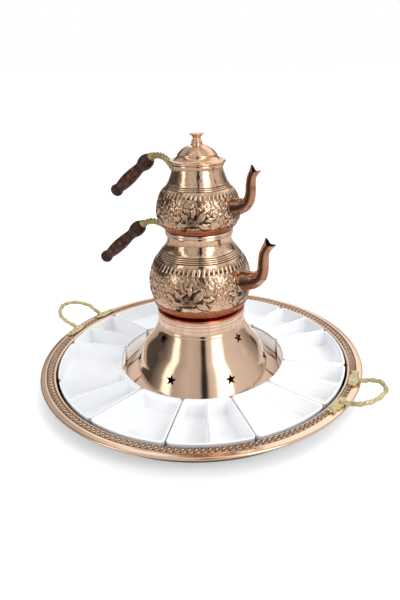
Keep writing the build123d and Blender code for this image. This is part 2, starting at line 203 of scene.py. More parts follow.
def porcelain():
    """White glazed porcelain; near the cone and below the rim the wall glows with painted light
    that stands in for the light the cone throws on it.
    """
    m = Surface("white_porcelain")
    cloud = m.noise(7.0)
    radius, height = m.radius_and_height()
    # Painted light: a warm glow on the walls near the cone, below the rim.
    near_cone = m.scale(radius, 0.55, 0.0, 154.5 * MM, 158 * MM)
    low_down = m.scale(height, 1, 0, 30 * MM, 35 * MM)
    m.set(Base_Color=m.ramp(cloud, [(0.3, (0.86, 0.87, 0.89)), (0.7, (0.93, 0.935, 0.94))]),
          Roughness=m.scale(cloud, 0.1, 0.16), Coat_Weight=0.6, Coat_Roughness=0.05,
          Emission_Color=(1.0, 0.93, 0.88),
          Emission_Strength=m.maths("MULTIPLY", near_cone, low_down))
    m.bump(m.noise(35.0, 2.0), 0.12, 0.6 * MM)
    return m.material


def wood():
    """Dark red lacquered wood with long grain and lighter burned carving."""
    m = Surface("lacquered_wood")
    grain = m.noise(70.0, 5.0, 0.65, stretch=(1.0, 4.0, 1.0), distortion=0.6)
    colour = m.ramp(grain, [(0.32, (0.012, 0.004, 0.003)), (0.6, (0.055, 0.013, 0.009)),
                            (0.8, (0.105, 0.028, 0.018))])
    carved = m.attribute("carved")
    colour = m.mix(m.scale(carved, 0.0, 0.5), colour, (0.20, 0.065, 0.038))
    m.set(Base_Color=colour, Roughness=m.scale(carved, 0.3, 0.55), Coat_Weight=0.2,
          Coat_Roughness=0.08, Specular_IOR_Level=0.25)
    m.bump(grain, 0.2, 0.4 * MM)
    return m.material


def steel():
    m = Surface("plain_steel")
    streak = m.noise(220.0, 3.0, 0.6, stretch=(1, 1, 6))
    m.set(Base_Color=m.ramp(streak, [(0.3, (0.36, 0.36, 0.37)), (0.7, (0.6, 0.6, 0.61))]),
          Metallic=1.0, Roughness=m.scale(streak, 0.25, 0.42))
    m.bump(streak, 0.15, 0.2 * MM)
    return m.material


def cotton():
    m = Surface("cotton_wick")
    twist = m.noise(500.0, 3.0, 0.6, stretch=(1, 1, 0.3))
    m.set(Base_Color=m.ramp(twist, [(0.3, (0.5, 0.46, 0.38)), (0.7, (0.86, 0.83, 0.75))]),
          Roughness=0.9)
    m.bump(twist, 0.6, 1 * MM)
    return m.material


POLISHED = copper("polished_copper", (0.88, 0.60, 0.42), (0.78, 0.46, 0.29), 0.08)
TRAY_COPPER = copper("tray_border_copper", (0.96, 0.71, 0.53), (0.86, 0.58, 0.41), 0.14,
                     relief=True)
SPUN_COPPER = copper("spun_copper", (0.93, 0.67, 0.51), (0.86, 0.58, 0.42), 0.09, lines=0.7)
CHASED_COPPER = copper("chased_copper", (0.90, 0.65, 0.47), (0.76, 0.48, 0.31), 0.09, relief=True)
# Painted reflection: copper made red, as the ring under the pots mirrors the pot above it.
PAINTED_REFLECTION_COPPER = copper("copper_painted_red_reflection", (0.74, 0.22, 0.11), (0.56, 0.13, 0.06), 0.16, lines=0.6)
SPOUT_COPPER = copper("spout_copper", (0.64, 0.36, 0.23), (0.44, 0.21, 0.13), 0.07, relief=True)
TINNED = copper("tinned_copper", (0.86, 0.70, 0.60), (0.74, 0.55, 0.44), 0.16, lines=0.5)
BRASS = brass("cast_brass_pale", (0.62, 0.52, 0.26), (0.86, 0.78, 0.50))
ARM_BRASS = brass("cast_brass_olive", (0.34, 0.27, 0.11), (0.62, 0.54, 0.28))
PORCELAIN = porcelain()
WOOD = wood()
STEEL = steel()
WICK = cotton()
SLOT_MATERIALS = {
    "tray_copper": POLISHED, "stand_copper": SPUN_COPPER, "pot_copper": POLISHED,
    "spout_copper": SPOUT_COPPER, "tinned_copper": TINNED, "cast_brass": BRASS,
    "brass_rivets": BRASS, "burner_brass": BRASS, "porcelain": PORCELAIN,
    "turned_wood": WOOD, "cotton_wick": WICK, "steel_wire": STEEL, "steel_rod": STEEL,
}


def dress_cad_nodes():
    """Gives every CAD node its slot's material; the ring under the pots gets copper painted red as
    the reflection of the pot above it.
    """
    for node, slot in SLOT_OF.items():
        materials = frame["nodes"][node].data.materials
        materials.clear()
        materials.append(PAINTED_REFLECTION_COPPER if node == "stand_support_ring" else SLOT_MATERIALS[slot])


# Mesh helpers

def full_turn(count):
    """Angles evenly spaced round a circle."""
    return [2 * pi * k / count for k in range(count)]


def link_object(name, data):
    made = bpy.data.objects.new(name, data)
    bpy.context.scene.collection.objects.link(made)
    return made


def mesh_from(name, points, faces):
    mesh = bpy.data.meshes.new(name)
    mesh.from_pydata([tuple(p) for p in points], [], faces)
    mesh.validate()
    return mesh


def add_piece(name, mesh, material, node):
    """Smooth piece that stands for a CAD node, on that node's body."""
    mesh.polygons.foreach_set("use_smooth", [True] * len(mesh.polygons))
    mesh.materials.append(material)
    piece = link_object(name, mesh)
    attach(piece, BODY_OF[node])
    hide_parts(node)
    return piece


def set_attribute(piece, name, values):
    layer = piece.data.attributes.new(name, "FLOAT", "POINT")
    layer.data.foreach_set("value", np.asarray(values, np.float32).ravel())


def grid_faces(rows, columns, wrap_rows=False):
    """Quads over rings of points held ring by ring."""
    last_row = rows if wrap_rows else rows - 1
    i, j = np.meshgrid(np.arange(last_row), np.arange(columns), indexing="ij")
    i2 = (i + 1) % rows
    j2 = (j + 1) % columns
    quads = np.stack([i * columns + j, i * columns + j2, i2 * columns + j2, i2 * columns + j], -1)
    return quads.reshape(-1, 4).tolist()


def capped_faces(rows, columns):
    """Quads over rings of points, with a face across the first and the last ring."""
    first = list(range(columns))[::-1]
    last = list(range((rows - 1) * columns, rows * columns))
    return grid_faces(rows, columns) + [first, last]


def apply_modifiers(piece):
    """Bakes a piece's modifiers into its mesh."""
    graph = bpy.context.evaluated_depsgraph_get()
    mesh = bpy.data.meshes.new_from_object(piece.evaluated_get(graph))
    piece.modifiers.clear()
    piece.data = mesh


def resample(points, spacing):
    """Points evenly spaced along a polyline, and their distances along it."""
    points = np.asarray(points, float)
    steps = np.hypot(*np.diff(points, axis=0).T)
    along = np.concatenate([[0], np.cumsum(steps)])
    count = max(2, int(round(along[-1] / spacing)) + 1)
    even = np.linspace(0, along[-1], count)
    return np.stack([np.interp(even, along, points[:, k]) for k in (0, 1)], -1), even


def smooth_line(points, passes):
    """Polyline with its inner points averaged towards their neighbours."""
    points = np.array(points, float)
    for _ in range(passes):
        points[1:-1] = 0.25 * points[:-2] + 0.5 * points[1:-1] + 0.25 * points[2:]
    return points


def normals_of(points):
    """Unit normals right of a (radius, height) polyline, outwards on a wall drawn upwards."""
    slope = np.gradient(np.asarray(points, float), axis=0)
    slope /= np.hypot(*slope.T)[:, None] + 1e-12
    return np.stack([slope[:, 1], -slope[:, 0]], -1)


def curve_points(controls, count):
    """Smooth 3-D path through control points (Catmull-Rom)."""
    controls = np.asarray(controls, float)
    padded = np.vstack([2 * controls[0] - controls[1], controls, 2 * controls[-1] - controls[-2]])
    spans = len(controls) - 1
    result = []
    for share in np.linspace(0, spans, count):
        k = min(int(share), spans - 1)
        t = share - k
        a, b, c, d = padded[k:k + 4]
        result.append(0.5 * (2 * b + (c - a) * t + (2 * a - 5 * b + 4 * c - d) * t * t
                             + (3 * b - a - 3 * c + d) * t ** 3))
    return np.array(result)


def directions(path):
    """Unit direction of a path at each of its points."""
    last = len(path) - 1
    return [Vector(path[min(i + 1, last)] - path[max(i - 1, 0)]).normalized()
            for i in range(last + 1)]


def matrix_of(x, y, z, place):
    """Matrix with the given unit axes, at a place."""
    matrix = Matrix((x, y, z)).transposed().to_4x4()
    matrix.translation = Vector(place)
    return matrix


def turned_to(place, forward, up):
    """Matrix at a place with X forwards and Z as near as possible to up."""
    x = Vector(forward).normalized()
    y = Vector(up).cross(x).normalized()
    return matrix_of(x, y, x.cross(y), place)


# Azimuths at which no spout, arm or handle stands in front of a turned CAD wall.
CLEAN_WAYS = [Vector((cos(a), sin(a), 0)) for a in np.radians(np.arange(60, 121, 2.5))]


@cache
def tree_of(node):
    """Search tree of a CAD node's mesh."""
    shape = bmesh.new()
    shape.from_mesh(frame["nodes"][node].data)
    tree = BVHTree.FromBMesh(shape)
    shape.free()
    return tree


def reach_of(node, centre, ways, start):
    """Farthest that a CAD node reaches from a centre in any of some directions."""
    reach = 0.0
    for way in ways:
        hit = tree_of(node).ray_cast(centre + start * way, -way)[0]
        if hit is not None:
            reach = max(reach, (hit - centre).dot(way))
    return reach


def radius_at(node, height):
    """Outer radius of a turned CAD node at a height."""
    return reach_of(node, Vector((0, 0, height)), CLEAN_WAYS, 1)


def top_at(node, radius):
    """Height of a turned CAD node's upper face at a radius."""
    up = Vector((0, 0, 1))
    return max(reach_of(node, float(radius) * way, [up], 1) for way in CLEAN_WAYS)


def outer_wall(node, low, high, spacing):
    """Outer (radius, height) line of a turned CAD node between two heights, going up."""
    heights = np.linspace(low, high, int((high - low) / (2 * MM)) + 2)
    line, _ = resample([(radius_at(node, z), z) for z in heights], spacing)
    return resample(smooth_line(line, 6), spacing)[0]


def shell_outline(wall, thickness):
    """Closed outline of a sheet from its outer line, going up outside and down inside."""
    inner = (wall - normals_of(wall) * thickness)[::-1]
    return np.concatenate([wall, inner[::2]])


def lathe(name, outline, columns, material, node, relief=0.0, closed=True):
    """Turned piece from an outline of (radius, height) points, pushed out along its normals."""
    outline = np.asarray(outline, float)
    turn = np.linspace(0, 2 * pi, columns, endpoint=False)
    normal = normals_of(outline)
    radius = outline[:, :1] + relief * normal[:, :1]
    height = outline[:, 1:] + relief * normal[:, 1:]
    points = np.stack([radius * np.cos(turn), radius * np.sin(turn), height + 0 * turn], -1)
    rows = len(outline)
    faces = grid_faces(rows, columns, True) if closed else capped_faces(rows, columns)
    return add_piece(name, mesh_from(name, points.reshape(-1, 3), faces), material, node)


class Solid:
    """Closed shells gathered into one mesh, to be fused by a voxel remesh."""

    def __init__(self):
        self.points = []
        self.faces = []

    def add_rings(self, points, columns):
        """Shell over rings of points, closed at both ends."""
        start = len(self.points)
        faces = capped_faces(len(points) // columns, columns)
        self.points += points
        self.faces += [[start + k for k in face] for face in faces]

    def add_tube(self, path, radii, sides=20):
        path = [Vector(p) for p in path]
        points = []
        side = None
        for centre, ahead, radius in zip(path, directions(path), radii):
            if side is None:
                guess = Vector((0, 1, 0)) if abs(ahead.y) < 0.9 else Vector((0, 0, 1))
                side = ahead.cross(guess).normalized()
            side = (side - ahead * side.dot(ahead)).normalized()
            up = ahead.cross(side)
            points += [centre + float(radius) * (cos(a) * side + sin(a) * up)
                       for a in full_turn(sides)]
        self.add_rings(points, sides)

    def add_strands(self, path, axes, count, turns, reach, radius, sides):
        """Round strands twisted about a path; axes holds two cross directions for each point."""
        for strand in range(count):
            line = []
            for i, (first, second) in enumerate(axes):
                a = i / (len(axes) - 1) * 2 * pi * turns + strand * 2 * pi / count
                line.append(Vector(path[i]) + reach * (cos(a) * first + sin(a) * second))
            self.add_tube(line, [radius] * len(line), sides)

    def add_ball(self, centre, radii, rings=8, sides=14):
        points = []
        for tilt in np.clip(np.linspace(-pi / 2, pi / 2, rings + 1), -1.55, 1.55):
            for a in full_turn(sides):
                local = Vector((cos(tilt) * cos(a), cos(tilt) * sin(a), sin(tilt)))
                points.append(Vector(centre) + Vector(radii) * local)
        self.add_rings(points, sides)

    def add_leaf(self, place, length, width, height, lobes):
        """Acanthus leaf, domed and lobed, laid on a plane: X along the leaf, Z off the plane."""
        rows, sides = 26, 24
        points = []
        for t in np.linspace(0, 1, rows + 1):
            half = width / 2 * (sin(pi * (0.06 + 0.92 * t) ** 0.85) ** 0.8)
            half *= 0.82 + 0.22 * abs(cos(lobes * pi * t))
            for a in full_turn(sides):
                across = cos(a)
                up = max(sin(a), -0.35)
                crease = 1 - 0.45 * np.exp(-(across / 0.16) ** 2)
                ribs = 1 - 0.28 * max(0.0, cos(2 * pi * 1.1 * (lobes * t - abs(across))))
                lift = height * up * (crease * ribs if up > 0 else 1)
                points.append(place @ Vector((length * (t - 0.5), half * across, lift)))
        self.add_rings(points, sides)

    def fuse(self, name, material, node):
        """One piece with the common skin of all the shells."""
        piece = add_piece(name, mesh_from(name, self.points, self.faces), material, node)
        remesh = piece.modifiers.new("fuse", "REMESH")
        remesh.mode = "VOXEL"
        remesh.voxel_size = 0.6 * MM
        remesh.use_smooth_shade = True
        soften = piece.modifiers.new("soften", "SMOOTH")
        soften.iterations = 1
        soften.factor = 0.5
        apply_modifiers(piece)
        return piece


# Relief on turned walls

class Canvas:
    """Height map on a turned wall, metres: rows run along the wall, columns run round it."""

    def __init__(self, wall, along, columns):
        self.radius = wall[:, 0]
        self.level = wall[:, 1]
        self.along = along
        self.columns = columns
        self.turn = np.linspace(0, 2 * pi, columns, endpoint=False)
        self.height = np.zeros((len(along), columns))
        self.ground = np.zeros_like(self.height)  # dark patches laid on at given places, some of them painted shade

    def at(self, height):
        """Distance along the wall of a height."""
        return float(np.interp(height, self.level, self.along))

    def radius_near(self, place):
        return np.interp(place, self.along, self.radius)

    def paint(self, layer, azimuth, place, reach, change):
        """Sets a layer's cells near a place to change(values, x, y), with x and y in metres."""
        near = np.flatnonzero(np.abs(self.along - place) < reach)
        if len(near) == 0:
            return
        span = int(np.ceil(reach / self.radius[near].mean() / (2 * pi) * self.columns)) + 1
        middle = int(round(azimuth / (2 * pi) * self.columns))
        columns = np.arange(middle - span, middle + span + 1)
        x = (columns * 2 * pi / self.columns - azimuth)[None, :] * self.radius[near][:, None]
        y = (self.along[near] - place)[:, None] + 0 * x
        cells = np.ix_(near, columns % self.columns)
        layer[cells] = change(layer[cells], x, y)

    def darken(self, azimuth, place, reach, amount):
        """Soft round dark patch."""
        def patch(values, x, y):
            spread = (x * x + y * y) / (0.8 * reach) ** 2
            return np.maximum(values, amount * np.exp(-spread ** 2))
        self.paint(self.ground, azimuth, place, 1.5 * reach, patch)

    def stamp(self, azimuth, place, size, tilt, shape, lift):
        """Raises a shape drawn in a unit square, turned by a tilt in degrees."""
        c, s = cos(radians(tilt)), sin(radians(tilt))

        def raised(values, x, y):
            share = shape((c * x + s * y) / size, (c * y - s * x) / size)
            return np.where(share > 0, np.maximum(values, lift * share), values)
        self.paint(self.height, azimuth, place, 1.5 * size, raised)

    def groove(self, azimuths, places, width, depth):
        """Chased line through places on the wall."""
        def sunk(values, x, y):
            return np.minimum(values, -depth * np.exp(-(x * x + y * y) / (0.5 * width) ** 2))
        for azimuth, place in zip(azimuths, places):
            self.paint(self.height, azimuth, place, 1.6 * width, sunk)

    def hammer(self, low, high, spacing, depth, seed):
        """Shallow hammer marks, one per cell of a jittered grid, each a dished facet."""
        rng = np.random.default_rng(seed)
        for place in np.arange(low, high, 0.86 * spacing):
            count = max(6, int(2 * pi * self.radius_near(place) / spacing))
            for k in range(count):
                azimuth = 2 * pi * (k + rng.uniform(-0.35, 0.35) + 0.5 * (k % 2)) / count
                at = place + rng.uniform(-0.3, 0.3) * spacing
                size = spacing * rng.uniform(0.75, 1.05)

                def dished(values, x, y):
                    dish = np.clip(1 - (x * x + y * y) / (0.8 * size) ** 2, 0, 1)
                    return values - depth * rng.uniform(0.6, 1.3) * dish
                self.paint(self.height, azimuth, at, size, dished)

    def rings(self, places, width, lift):
        for place in places:
            self.height += lift * np.exp(-((self.along - place) / width) ** 2)[:, None]

    def blurred(self, values, reach):
        """Box blur over a reach of cells both ways, done twice for a soft result."""
        for _ in range(2):
            values = sum(np.roll(values, k, 1) for k in range(-reach, reach + 1)) / (2 * reach + 1)
            padded = np.pad(values, ((reach, reach), (0, 0)), mode="edge")
            rows = len(values)
            values = sum(padded[k:k + rows] for k in range(2 * reach + 1)) / (2 * reach + 1)
        return values

    def hollow_darkening(self, reach, depth):
        """Share of darkening, from 0 to 1, where the wall lies below its surroundings."""
        hollow = self.blurred(self.height, reach) - self.height
        return np.clip(hollow / depth, 0, 1) ** 0.8


def leaf_shape(u, v):
    """Pointed leaf along u from -1 to 1 with a sunk midrib and veins."""
    t = (u + 1) / 2
    inside = (t > 0) & (t < 1)
    t = np.clip(t, 1e-3, 1 - 1e-3)
    half = 0.42 * np.sin(pi * t ** 0.8) * (1 + 0.09 * np.sin(22 * t))
    share = np.abs(v) / np.maximum(half, 1e-3)
    dome = np.sqrt(np.clip(1 - share ** 2, 0, 1))
    rib = 0.45 * np.exp(-(v / 0.035) ** 2)
    veins = 0.2 * np.clip(np.cos(2 * pi * (4.5 * t - 2.6 * np.abs(v))), 0, 1) ** 3
    return np.where(inside & (share < 1), np.clip(0.35 + 0.65 * dome - rib - veins, 0.08, 1), 0)


def berry_shape(u, v):
    d2 = u * u + v * v
    return np.where(d2 < 1, np.sqrt(np.clip(1 - d2, 0, 1)) * 0.9 + 0.1, 0)


def flower_shape(u, v):
    """Five round petals with creases and a raised middle."""
    r = np.hypot(u, v)
    a = np.arctan2(v, u)
    edge = 0.72 + 0.28 * np.abs(np.cos(2.5 * a))
    petal = np.sqrt(np.clip(1 - (r / edge) ** 2, 0, 1))
    crease = 0.5 * np.exp(-(np.cos(2.5 * a) / 0.16) ** 2) * np.clip(r / 0.4, 0, 1)
    middle = np.where(r < 0.26, 0.5 * np.sqrt(np.clip(1 - (r / 0.26) ** 2, 0, 1)), 0)
    value = 0.3 + 0.5 * petal - crease + middle - 0.25 * np.exp(-((r - 0.28) / 0.05) ** 2)
    return np.where(r < edge, np.clip(value, 0.06, 1.2), 0)


def tongue_shape(u, v):
    """Narrow tongue along u with a flat top."""
    share = np.abs(v) / (0.36 * np.sqrt(np.clip(1 - u * u, 1e-6, 1)))
    return np.where((np.abs(u) < 1) & (share < 1), np.sqrt(np.clip(1 - share ** 2, 0, 1)), 0)


# Tray

TRAY_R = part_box("tray_pan")[1].y
BEAD_R = 2.62 * MM
WAVE_COUNT = 176
WAVE_STEPS = 16
WAVE_BAND = (273.4 * MM, 288.6 * MM)


def scroll_tile(rows, pitch):
    """Height, 0 to 1, of one running scroll on a small grid: a base line and a curling crest."""
    width = WAVE_BAND[1] - WAVE_BAND[0]
    angle = np.linspace(-0.62 * pi, 1.75 * pi, 160)
    reach = np.interp(angle, [angle[0], 0, pi, angle[-1]], [0.50, 0.40, 0.27, 0.08])
    curve = np.stack([0.55 + reach * np.cos(angle), 0.53 + reach * np.sin(angle)], -1)
    base = np.stack([np.linspace(0, 1, 60), np.full(60, 0.07)], -1)
    curve = np.concatenate([curve, curve - [1, 0], curve + [1, 0], base])
    x = (np.arange(WAVE_STEPS) / WAVE_STEPS)[None, :, None]
    y = np.linspace(0, 1, rows)[:, None, None]
    gap = np.hypot((x - curve[:, 0]) * pitch, (y - curve[:, 1]) * width).min(-1)
    band = np.clip(1 - (gap / (1.3 * MM)) ** 2, 0, 1) ** 0.7
    eye = np.hypot((x[..., 0] - 0.55) * pitch, (y[..., 0] - 0.53) * width)
    return np.maximum(band, 0.7 * np.clip(1 - (eye / (1.1 * MM)) ** 2, 0, 1) ** 0.5)


def build_tray_pan():
    """Spun pan: plain floor and wall, embossed scrolls round the border and a rolled edge."""
    radii = np.concatenate([np.arange(262, 276, 0.7), np.arange(276, 297.2, 0.5)]) * MM
    upper = smooth_line([(r, top_at("tray_pan", r)) for r in radii], 2)
    lower = upper + normals_of(upper) * SHEET
    floor_radii = np.array([2, 90, 180, 250]) * MM
    bead_x, bead_z = TRAY_R - BEAD_R, upper[-1][1] - BEAD_R + 0.05 * MM
    bead = [(bead_x + BEAD_R * cos(a), bead_z + BEAD_R * sin(a))
            for a in np.radians(np.linspace(-150, 78, 14))]
    parts = [[(r, 0.0) for r in floor_radii], lower[::2], bead, upper[::-1],
             [(r, SHEET) for r in floor_radii[::-1]]]
    outline = np.concatenate(parts)
    columns = WAVE_COUNT * WAVE_STEPS
    relief = np.zeros((len(outline), columns))
    patina_and_shade = np.zeros_like(relief)
    top_start = sum(len(part) for part in parts[:3])
    rows = [i for i in range(top_start, top_start + len(upper))
            if WAVE_BAND[0] <= outline[i][0] <= WAVE_BAND[1]]
    tile = scroll_tile(len(rows), pi * sum(WAVE_BAND) / WAVE_COUNT)
    for i, line in zip(rows[::-1], tile):
        relief[i] = -np.tile(line * 1.7 * MM - 0.6 * MM, WAVE_COUNT)
        # Patina and painted shade on the low ground between the scrolls.
        patina_and_shade[i] = np.tile(np.clip(0.85 - 1.7 * line, 0, 1), WAVE_COUNT)
    pan = lathe("tray_pan_embossed", outline, columns, TRAY_COPPER, "tray_pan", relief,
                closed=False)
    set_attribute(pan, "patina_and_shade", patina_and_shade)


FOOT_DEGREES = 9.2
FOOT_R = 286.5 * MM
# Leaves of a handle's foot: tilt in degrees, then length, width and shift along the rim in mm.
FOOT_LEAVES = ((0, 50, 19, 0), (26, 28, 11, 11), (-26, 28, 11, 11), (30, 22, 10, -13),
               (-30, 22, 10, -13))


def handle_path(node, side):
    """Loop of the handle's stem, from one foot out and back to the other."""
    low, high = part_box(node)
    reach_x = high.x if side > 0 else -low.x
    start_x = 289 * MM
    span = (reach_x - 3.6 * MM - start_x) * (0.88 if side > 0 else 1)
    rise = (high.z - 6.6 * MM - low.z) * (0.7 if side > 0 else 1)
    shape = [(0, 0.80), (0.22, 0.83), (0.52, 0.86), (0.84, 0.58), (1, 0)]
    shape += [(u, -v) for u, v in shape[-2::-1]]
    controls = [(side * (start_x + u * span), v * (high.y - 22 * MM), low.z + 3 * MM + u * rise)
                for u, v in shape]
    return curve_points(controls, 120)


def build_tray_handle(node, side):
    """Cast loop of twined stems, buds and leaves rising from two acanthus feet."""
    seat_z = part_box(node)[0].z
    path = handle_path(node, side)
    ways = directions(path)
    solid = Solid()
    share = np.linspace(0, 1, len(path))
    solid.add_tube(path, (3.3 + 0.3 * np.sin(share * 2 * pi * 16) ** 2) * MM)
    up = Vector((-side * 0.34, 0, 0.94))
    axes = [(ahead.cross(up).normalized(), up) for ahead in ways]
    solid.add_strands(path, axes, 2, 5.5, 2.9 * MM, 1.7 * MM, 10)
    for i in range(10, len(path) - 8, 9):
        here = Vector(path[i])
        outward = axes[i][0] * (1 if (i // 9) % 2 else -1)
        bud = here + outward * 2.8 * MM + up * 0.8 * MM
        solid.add_leaf(turned_to(bud, ways[i] + 0.3 * outward, up), 10 * MM, 5 * MM, 2.6 * MM, 3)
        solid.add_ball(here + up * 3.0 * MM, (1.8 * MM, 1.8 * MM, 1.4 * MM))
    for end, root in ((1, path[0]), (-1, path[-1])):
        turn = radians(FOOT_DEGREES) * end * side + (0 if side > 0 else pi)
        base = Vector((FOOT_R * cos(turn), FOOT_R * sin(turn), seat_z + 1.5 * MM))
        along = Vector((-sin(turn), cos(turn), 0)) * end * side
        for tilt, length, width, shift in FOOT_LEAVES:
            away = Matrix.Rotation(radians(tilt), 3, "Z") @ along
            place = turned_to(base + along * shift * MM, away, (0, 0, 1))
            solid.add_leaf(place, length * MM, width * MM, 3.2 * MM, 5)
        solid.add_ball(Vector(root) + Vector((0, 0, 0.5 * MM)), (6 * MM, 6 * MM, 4 * MM))
    piece = solid.fuse(node + "_cast", BRASS, node)
    for vertex in piece.data.vertices:
        if abs(vertex.co.x) < TRAY_R:
            vertex.co.z = max(vertex.co.z, seat_z)


# Dishes

DISH_IN_R = 153 * MM
DISH_OUT_R = 269 * MM
DISH_CORNER = 8 * MM
DISH_WALL = 4 * MM
DISH_GAP = 1 * MM
DISH_RIM = 1.7 * MM
DISH_DRAFT = 2.6 * MM  # how far the walls lean out from foot to rim
DISH_TURN = radians(4)
DISH_STEP = radians(30)


def outline_side(inset, half, gap):
    """Upper half of a rounded wedge about +X, from the outer edge round to the inner one."""
    corner = max(DISH_CORNER - inset, 0.7 * MM)
    off = gap + inset + corner
    line = Vector((cos(half), sin(half)))
    inward = Vector((sin(half), -cos(half)))
    outer = line * sqrt((DISH_OUT_R - inset - corner) ** 2 - off ** 2) + inward * off
    inner = line * sqrt((DISH_IN_R + inset + corner) ** 2 - off ** 2) + inward * off
    outer_turn = atan2(outer.y, outer.x)
    inner_turn = atan2(inner.y, inner.x)
    square = half + pi / 2

    def arc(middle, radius, angles):
        return [(middle.x + radius * cos(a), middle.y + radius * sin(a)) for a in angles]

    axis = Vector((0, 0))
    start, stop = outer - inward * corner, inner - inward * corner
    points = arc(axis, DISH_OUT_R - inset, outer_turn * np.arange(1, 9) / 9)
    points += arc(outer, corner, np.linspace(outer_turn, square, 8))
    points += [tuple(start.lerp(stop, k / 10)) for k in range(1, 10)]
    points += arc(inner, corner, np.linspace(square, inner_turn + pi, 8))
    return points + arc(axis, DISH_IN_R + inset, inner_turn * (1 - np.arange(1, 5) / 5))


def wedge_outline(inset, half, low_gap, high_gap):
    """Rounded wedge about +X as (x, y) points anticlockwise, in by an inset from its edges."""
    upper = outline_side(inset, half, high_gap)
    lower = [(x, -y) for x, y in outline_side(inset, half, low_gap)]
    return [(DISH_OUT_R - inset, 0)] + upper + [(DISH_IN_R + inset, 0)] + lower[::-1]


def wall_profile(thick, low, soft, corner_angles, top, rim_side):
    """(inset, z) points up a leaning wall: a soft corner, the wall, and half of the round rim."""
    points = [(thick + DISH_DRAFT + soft * (1 - sin(a)), low + soft * (1 - cos(a)))
              for a in np.radians(corner_angles)]
    straight = top - DISH_RIM - low - soft
    points += [(thick + DISH_DRAFT * (1 - k / 5), low + soft + straight * k / 5)
               for k in range(1, 6)]
    return points + [(thick + rim_side * DISH_RIM * (1 - cos(a)), top - DISH_RIM * (1 - sin(a)))
                     for a in np.radians([18, 36, 54, 72, 90])]


def add_skin(shape, profile, half, low_gap, high_gap, spin, flip):
    """Faces through wedge outlines at (inset, z); returns the edges of the last one."""
    c, s = cos(spin), sin(spin)
    last = None
    for inset, z in profile:
        here = [shape.verts.new((c * x - s * y, s * x + c * y, z))
                for x, y in wedge_outline(inset, half, low_gap, high_gap)]
        if last is None:
            faces = [here[::-1]]
        else:
            faces = [[last[k], last[k - 1], here[k - 1], here[k]] for k in range(len(here))]
        for face in faces:
            shape.faces.new(face[::-1] if flip else face)
        last = here
    return [shape.edges.get((last[k], last[k - 1])) for k in range(len(last))]


def build_dish(index):
    """Porcelain wedge with a rounded rim, soft inside corners and, if double, a divider."""
    divided = index % 2 == 0
    node = f"{'double' if divided else 'single'}_dish_{index // 2 + 1}"
    low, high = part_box(node)
    foot, soft = 3 * MM, 4 * MM
    edge = DISH_DRAFT + foot
    outside = [(edge + 4 * MM, low.z + 0.6 * MM), (edge + 1 * MM, low.z + 0.6 * MM),
               (edge + 0.3 * MM, low.z)]
    outside += wall_profile(0, low.z, foot, [0, 22, 45, 68, 90], high.z, 1)
    floor = low.z + 4 * MM
    edge = DISH_WALL + DISH_DRAFT + soft
    pocket = [(edge + 3 * MM, floor), (edge + 0.5 * MM, floor)]
    pocket += wall_profile(DISH_WALL, floor, soft, range(0, 91, 15), high.z, -1)
    half = DISH_STEP / 2
    turn = DISH_TURN + index * DISH_STEP
    shape = bmesh.new()
    edges = add_skin(shape, outside, half, DISH_GAP, DISH_GAP, turn, False)
    if divided:
        quarter = half / 2
        middle = -DISH_WALL / 2
        edges += add_skin(shape, pocket, quarter, DISH_GAP, middle, turn - quarter, True)
        edges += add_skin(shape, pocket, quarter, middle, DISH_GAP, turn + quarter, True)
    else:
        edges += add_skin(shape, pocket, half, DISH_GAP, DISH_GAP, turn, True)
    bmesh.ops.triangle_fill(shape, use_beauty=True, edges=edges)
    bmesh.ops.recalc_face_normals(shape, faces=shape.faces)
    mesh = bpy.data.meshes.new(node + "_glazed")
    shape.to_mesh(mesh)
    shape.free()
    add_piece(node + "_glazed", mesh, PORCELAIN, node)


# Stand

STAR_R = 10.5 * MM
STAR_COUNT = 7
FIRST_STAR = -137.3
STAR_HEIGHTS = (44 * MM, 96 * MM)
FLARE = 12 * MM  # how far the cone's foot is turned out below its lower stars


def wall_frame(wall, height, azimuth):
    """Point, outward normal and sideways direction on a turned wall."""
    radius, ahead = np.interp([height, height + MM], wall[:, 1], wall[:, 0])
    slope = Vector((ahead - radius, MM)).normalized()
    c, s = cos(azimuth), sin(azimuth)
    point = Vector((radius * c, radius * s, height))
    return point, Vector((slope.y * c, slope.y * s, -slope.x)), Vector((-s, c, 0))


def star_cutter(wall):
    """One object of star prisms that pass through the cone's wall."""
    step = 360 / STAR_COUNT
    places = [(STAR_HEIGHTS[0], FIRST_STAR + step * i) for i in range(STAR_COUNT)]
    places += [(STAR_HEIGHTS[1], FIRST_STAR + step * (i + 0.5)) for i in range(0, STAR_COUNT, 2)]
    stars = Solid()
    for height, azimuth in places:
        centre, normal, across = wall_frame(wall, height, radians(azimuth))
        up = normal.cross(across)
        points = []
        for depth in (-5 * MM, 5 * MM):
            for k, a in enumerate(full_turn(10)):
                r = STAR_R if k % 2 == 0 else 0.42 * STAR_R
                points.append(centre + depth * normal
                              + r * (cos(a + pi / 2) * across + sin(a + pi / 2) * up))
        stars.add_rings(points, 10)
    return link_object("star_cutter", mesh_from("star_cutter", stars.points, stars.faces))


def build_stand_cone():
    """Spun cone with faint turning ripples and star-shaped vents."""
    low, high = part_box("stand_cone")
    wall = outer_wall("stand_cone", low.z + 0.2 * MM, high.z - 0.2 * MM, 1.0 * MM)
    wall[:, 0] += FLARE * np.clip((44 * MM - wall[:, 1]) / (42 * MM), 0, 1) ** 1.5
    outline = shell_outline(wall, SHEET)
    rng = np.random.default_rng(11)
    ripple = np.convolve(rng.normal(0, 1, len(outline) + 4), np.ones(5) / 5, "valid") * 0.05 * MM
    cone = lathe("stand_cone_spun", outline, 600, SPUN_COPPER, "stand_cone", ripple[:, None])
    cutter = star_cutter(wall)
    cut = cone.modifiers.new("stars", "BOOLEAN")
    cut.operation = "DIFFERENCE"
    cut.solver = "EXACT"
    cut.object = cutter
    apply_modifiers(cone)
    bpy.data.objects.remove(cutter)
    cone.data.set_sharp_from_angle(angle=radians(50))


